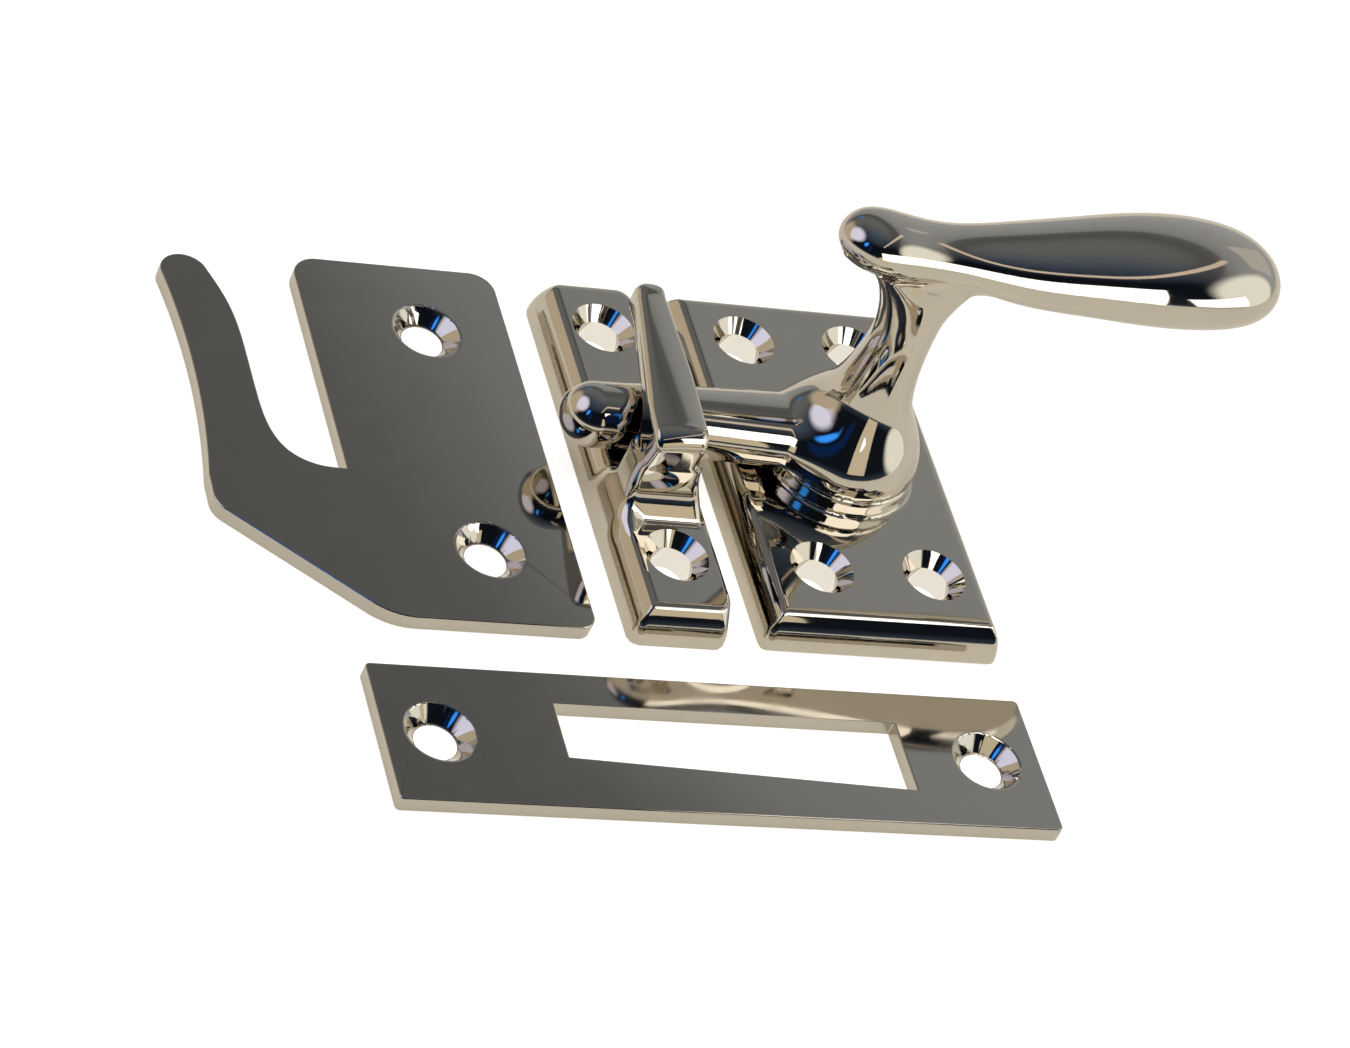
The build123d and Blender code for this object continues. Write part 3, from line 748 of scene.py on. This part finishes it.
def sheetPlate(name, outline):
    # flat blank of sheet metal from a closed outline in mm
    mesh = bpy.data.meshes.new(name)
    shape = bmesh.new()
    ring = [shape.verts.new((x * mm, y * mm, 0)) for x, y in outline]
    bottom = shape.faces.new(ring)
    top = bmesh.ops.extrude_face_region(shape, geom=[bottom])["geom"]
    bmesh.ops.translate(shape, verts=[v for v in top if isinstance(v, bmesh.types.BMVert)],
                        vec=(0, 0, sheetShape["thickness"] * mm))
    bmesh.ops.recalc_face_normals(shape, faces=shape.faces)
    shape.to_mesh(mesh)
    shape.free()
    piece = bpy.data.objects.new(name, mesh)
    scene.collection.objects.link(piece)
    return piece


def breakEdges(piece):
    # the thin rounded edge that polishing leaves
    edge = piece.modifiers.new("edge", "BEVEL")
    edge.width = sheetShape["edgeBreak"] * mm
    edge.segments = 3
    edge.limit_method = "ANGLE"
    edge.angle_limit = math.radians(30)
    edge.harden_normals = False
    edge.use_clamp_overlap = False
    for polygon in piece.data.polygons:
        polygon.use_smooth = True
    weighted = piece.modifiers.new("flat", "WEIGHTED_NORMAL")
    weighted.keep_sharp = True
    weighted.weight = 100
    bakeModifiers(piece)


hook = sheetPlate("hookStrike", hookOutline())
drillHoles(hook, holeValues("hook", sheetShape["thickness"], screwHole["sheetSink"], sheetNickel))
breakEdges(hook)
finishPiece(hook, "plates", "hook_strike", sheetNickel, 0)
say("hook strike")


def mortisePlate():
    s = sheetShape
    middle, size = s["mortiseMiddle"], s["mortiseSize"]
    x0, x1 = middle[0] - size[0] / 2, middle[0] + size[0] / 2
    y0, y1 = middle[1] - size[1] / 2, middle[1] + size[1] / 2
    r = s["mortiseCorner"]
    plate = sheetPlate("mortiseStrike", roundCorners([(x0, y0, r), (x1, y0, r), (x1, y1, r), (x0, y1, r)], 6))
    left, right = (middle[0] + edge for edge in s["slotX"])
    narrow, wide = (middle[1] + edge for edge in s["slotLow"])
    top = middle[1] + s["slotTop"]
    cutter = sheetPlate("slotCutter", [(left, narrow), (right, wide), (right, top), (left, top)])
    for vertex in cutter.data.vertices:
        vertex.co.z = vertex.co.z * 3 - sheetShape["thickness"] * mm
    slot = plate.modifiers.new("slot", "BOOLEAN")
    slot.object = cutter
    slot.operation = "DIFFERENCE"
    slot.solver = "EXACT"
    bakeModifiers(plate)
    bpy.data.objects.remove(cutter)
    return plate


mortise = mortisePlate()
drillHoles(mortise, holeValues("mortise", sheetShape["thickness"], screwHole["sheetSink"], sheetNickel))
breakEdges(mortise)
finishPiece(mortise, "plates", "mortise_strike", sheetNickel, 0)
say("mortise strike")

innerFinish = {
    "thrust_washer": turnedBrass, "spring_washer": zincSteel, "retaining_washer": zincSteel,
    "retaining_screw": zincSteel, "spindle": zincSteel,
}
for node, finish in innerFinish.items():
    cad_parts[node].data.materials.clear()
    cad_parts[node].data.materials.append(finish)
say("inner parts")

studio = {
    "paper": "#fff9ee",
    "paperGlow": 0.75,          # added light of the paper as the camera sees it
    "paperMirrored": "#fff6e0",
    "mirroredGlow": 0.30,       # the same as the metal mirrors it: dimmer and warmer
    "floorHalf": 4.0,           # m
    "floorDrop": 0.02,          # mm, below the backs of the plates
    # painted light: glow of the patch under the castings, seen through their screw holes
    "holeGlow": 1.35,
    "holeInset": 2.0,           # mm
    "keyEnergy": 9.0,           # W, large soft light overhead
    "behind": (0.55, 0.83, 0.0),    # horizontal direction of the lit side of the room
    "behindRange": (-0.25, 0.45),
    "roomBehind": (             # brightness of the room on that side: sine of the elevation, grey
        (0.0, 0.50), (0.30, 0.44), (0.50, 0.40), (0.61, 0.34), (0.64, 0.30), (0.655, 0.235), (0.675, 0.165),
        (0.70, 0.15), (0.78, 0.13), (0.91, 0.19), (1.0, 0.2),
    ),
    "roomFront": (              # the unlit side, where the camera stands
        (0.0, 0.10), (0.15, 0.02), (0.72, 0.015), (0.92, 0.14), (1.0, 0.2),
    ),
    "roomLean": (-0.7, 0.0, 1.0),   # the bright part of the room reaches higher towards +X
    "roomLeanStart": 0.27,
    "backTint": "#f4f8ff",
    "frontTint": "#a8c4f2",
    "backdrop": "#fafafa",
    "cardsFace": (0.0, 0.0, 14.0),  # mm
}


def stageSheet(name, material, left, right, front, back):
    mesh = bpy.data.meshes.new(name)
    corners = [(left, front, 0), (right, front, 0), (right, back, 0), (left, back, 0)]
    mesh.from_pydata(corners, [], [(0, 1, 2, 3)])
    mesh.materials.append(material)
    sheet = bpy.data.objects.new(name, mesh)
    scene.collection.objects.link(sheet)
    return sheet


def makeFloor():
    material, tree = newMaterial("mattWhitePaper")
    coords = addNode(tree, "ShaderNodeTexCoord").outputs["Object"]
    fibre = addNode(tree, "ShaderNodeTexNoise", inputs={"Scale": 900.0, "Detail": 3.0},
                    links={"Vector": coords})
    bump = addNode(tree, "ShaderNodeBump", inputs={"Strength": 0.05, "Distance": 0.0001},
                   links={"Height": fibre.outputs["Fac"]})
    ray = addNode(tree, "ShaderNodeLightPath").outputs["Is Camera Ray"]
    glow = addNode(tree, "ShaderNodeMapRange", links={"Value": ray},
                   inputs={"To Min": studio["mirroredGlow"], "To Max": studio["paperGlow"]})
    tint = addNode(tree, "ShaderNodeMix", {"data_type": "RGBA"}, links={"Factor": ray})
    tint.inputs["A"].default_value = srgb(studio["paperMirrored"])
    tint.inputs["B"].default_value = (1.0, 1.0, 1.0, 1.0)
    surface = addNode(tree, "ShaderNodeBsdfPrincipled",
                      inputs={"Base Color": srgb(studio["paper"]), "Roughness": 0.9, "Specular IOR Level": 0.1},
                      links={"Normal": bump.outputs["Normal"], "Emission Color": tint.outputs["Result"],
                             "Emission Strength": glow.outputs["Result"]})
    addNode(tree, "ShaderNodeOutputMaterial", links={"Surface": surface.outputs["BSDF"]})
    half = studio["floorHalf"]
    floor = stageSheet("floor", material, -half, half, -half, half)
    floor.location.z = -studio["floorDrop"] * mm


def makeGlowPatchUnderCastings():
    # glowing patch right under the castings: painted light in place of the shade they cast on the paper, so
    # that their screw holes look clear through
    material, tree = newMaterial("glowPatchUnderCastings")
    glow = addNode(tree, "ShaderNodeEmission", inputs={"Strength": studio["holeGlow"]})
    addNode(tree, "ShaderNodeOutputMaterial", links={"Surface": glow.outputs["Emission"]})
    inset = studio["holeInset"] * mm
    for node in ("base_plate", "rim_strike"):
        low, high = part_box(node)
        patch = stageSheet("glowPatch_" + node, material, low[0] + inset, high[0] - inset,
                           low[1] + inset, high[1] - inset)
        patch.location.z = -studio["floorDrop"] / 2 * mm


def makeLights():
    data = bpy.data.lights.new("key", "AREA")
    data.shape = "DISK"
    data.size = 1.6
    data.energy = studio["keyEnergy"]
    key = bpy.data.objects.new("key", data)
    key.location = (-0.15, -0.2, 1.3)
    key.rotation_euler = (Vector((0, 0, 0)) - key.location).to_track_quat("-Z", "Y").to_euler()
    key.visible_glossy = False    # lights the paper; the metal mirrors the cards instead
    scene.collection.objects.link(key)


# cards that the polished metal mirrors, far off: direction (azimuth from +X towards +Y, elevation), width and
# height in degrees, colour, brightness, share of the card over which its edge fades
cards = (
    ("wallLeft", 152.0, 16.0, 84.0, 60.0, "#efdfc6", 0.78, 0.5),
    ("paleLeft", 171.0, 38.0, 62.0, 54.0, "#dfe0ff", 1.45, 0.5),
    ("skyPane", -141.0, 37.0, 12.0, 26.0, "#2f86f2", 2.2, 0.6),
    ("skyEdge", -126.0, 30.0, 14.0, 40.0, "#1b3f86", 0.5, 0.8),
    ("paleRight", -22.0, 22.0, 58.0, 60.0, "#f6f6ee", 1.3, 0.3),
    ("panelRight", 26.0, 26.0, 22.0, 26.0, "#e9e6e2", 0.75, 0.0),
    ("ceilingLine", -31.0, 62.0, 56.0, 3.0, "#fbe9da", 0.9, 0.0),
    ("skyFar", 100.0, 33.0, 5.0, 12.0, "#4a96e6", 0.9, 0.0),
)
# the same close by: place, width and height in mm; they face the middle of the object
nearCards = (
    ("softbox", (13.0, -42.0, 43.0), 40.0, 25.0, "#ffffff", 2.6, 0.0),
    ("gripPane", (50.0, -34.0, 41.0), 24.0, 14.0, "#ffffff", 2.2, 0.0),
    ("warmPane", (0.0, -62.0, 28.0), 26.0, 26.0, "#efe2c6", 0.95, 0.0),
)


def makeCard(name, place, width, height, color, strength, fade):
    material, tree = newMaterial(name)
    glow = addNode(tree, "ShaderNodeEmission", inputs={"Color": srgb(color), "Strength": strength})
    shader = glow.outputs["Emission"]
    if fade > 0:
        coords = addNode(tree, "ShaderNodeTexCoord").outputs["Generated"]
        centred = addNode(tree, "ShaderNodeMapping",
                          inputs={"Location": (-1.0, -1.0, 0.0), "Scale": (2.0, 2.0, 0.0)},
                          links={"Vector": coords})
        middle = addNode(tree, "ShaderNodeTexGradient", {"gradient_type": "SPHERICAL"},
                         links={"Vector": centred.outputs["Vector"]})
        share = addNode(tree, "ShaderNodeMapRange", {"interpolation_type": "SMOOTHSTEP"},
                        inputs={"From Max": fade}, links={"Value": middle.outputs["Fac"]})
        clear = addNode(tree, "ShaderNodeBsdfTransparent")
        mixed = addNode(tree, "ShaderNodeMixShader", links={"Fac": share.outputs["Result"]})
        tree.links.new(clear.outputs[0], mixed.inputs[1])
        tree.links.new(shader, mixed.inputs[2])
        shader = mixed.outputs[0]
    addNode(tree, "ShaderNodeOutputMaterial", links={"Surface": shader})
    card = stageSheet(name, material, -width / 2, width / 2, -height / 2, height / 2)
    card.location = place
    card.rotation_euler = (place - Vector(studio["cardsFace"]) * mm).to_track_quat("Z", "Y").to_euler()
    card.visible_camera = False
    card.visible_shadow = False
    card.visible_diffuse = False


def makeCards(distance=0.9):
    for name, azimuth, elevation, width, height, color, strength, fade in cards:
        distance *= 0.98      # so that no two cards cut through each other
        a, e = math.radians(azimuth), math.radians(elevation)
        place = Vector((math.cos(a) * math.cos(e), math.sin(a) * math.cos(e), math.sin(e))) * distance
        across, up = (2 * distance * math.tan(math.radians(angle / 2)) for angle in (width, height))
        makeCard(name, place, across, up, color, strength, fade)
    for name, place, width, height, color, strength, fade in nearCards:
        makeCard(name, Vector(place) * mm, width * mm, height * mm, color, strength, fade)


def greyRamp(tree, source, stops):
    node = addNode(tree, "ShaderNodeValToRGB", links={"Fac": source})
    ramp = node.color_ramp
    while len(ramp.elements) < len(stops):
        ramp.elements.new(0.5)
    for element, (place, grey) in zip(ramp.elements, stops):
        element.position = place
        element.color = (grey, grey, grey, 1.0)
    return node.outputs["Color"]


def makeWorld():
    # the metal mirrors a dark room, and the camera sees a pale backdrop instead of it
    world = bpy.data.worlds.new("studio")
    scene.world = world
    world.use_nodes = True
    tree = world.node_tree
    tree.nodes.clear()
    direction = addNode(tree, "ShaderNodeTexCoord").outputs["Generated"]
    height = addNode(tree, "ShaderNodeSeparateXYZ", links={"Vector": direction}).outputs["Z"]
    lean = addNode(tree, "ShaderNodeVectorMath", {"operation": "DOT_PRODUCT"})
    tree.links.new(direction, lean.inputs[0])
    lean.inputs[1].default_value = studio["roomLean"]
    leant = addNode(tree, "ShaderNodeMath", {"operation": "ADD"})
    tree.links.new(lean.outputs["Value"], leant.inputs[0])
    leant.inputs[1].default_value = studio["roomLeanStart"]
    toBack = addNode(tree, "ShaderNodeVectorMath", {"operation": "DOT_PRODUCT"})
    tree.links.new(direction, toBack.inputs[0])
    toBack.inputs[1].default_value = studio["behind"]
    share = addNode(tree, "ShaderNodeMapRange", {"interpolation_type": "SMOOTHSTEP"},
                    inputs={"From Min": studio["behindRange"][0], "From Max": studio["behindRange"][1]},
                    links={"Value": toBack.outputs["Value"]})
    room = addNode(tree, "ShaderNodeMix", {"data_type": "RGBA"}, links={"Factor": share.outputs["Result"]})
    halves = (("A", height, "roomFront", "frontTint"), ("B", leant.outputs[0], "roomBehind", "backTint"))
    for socket, source, stops, tint in halves:
        tinted = addNode(tree, "ShaderNodeMix", {"data_type": "RGBA", "blend_type": "MULTIPLY"},
                         inputs={"Factor": 1.0, "B": srgb(studio[tint])},
                         links={"A": greyRamp(tree, source, studio[stops])})
        tree.links.new(tinted.outputs["Result"], room.inputs[socket])
    dark = addNode(tree, "ShaderNodeBackground", links={"Color": room.outputs["Result"]})
    pale = addNode(tree, "ShaderNodeBackground", inputs={"Color": srgb(studio["backdrop"])})
    ray = addNode(tree, "ShaderNodeLightPath")
    mixed = addNode(tree, "ShaderNodeMixShader", links={"Fac": ray.outputs["Is Camera Ray"]})
    tree.links.new(dark.outputs[0], mixed.inputs[1])
    tree.links.new(pale.outputs[0], mixed.inputs[2])
    addNode(tree, "ShaderNodeOutputWorld", links={"Surface": mixed.outputs[0]})


makeFloor()
makeGlowPatchUnderCastings()
makeLights()
makeCards()
makeWorld()
scene.view_settings.view_transform = "Standard"
say("studio")

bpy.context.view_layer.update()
say("sizes")
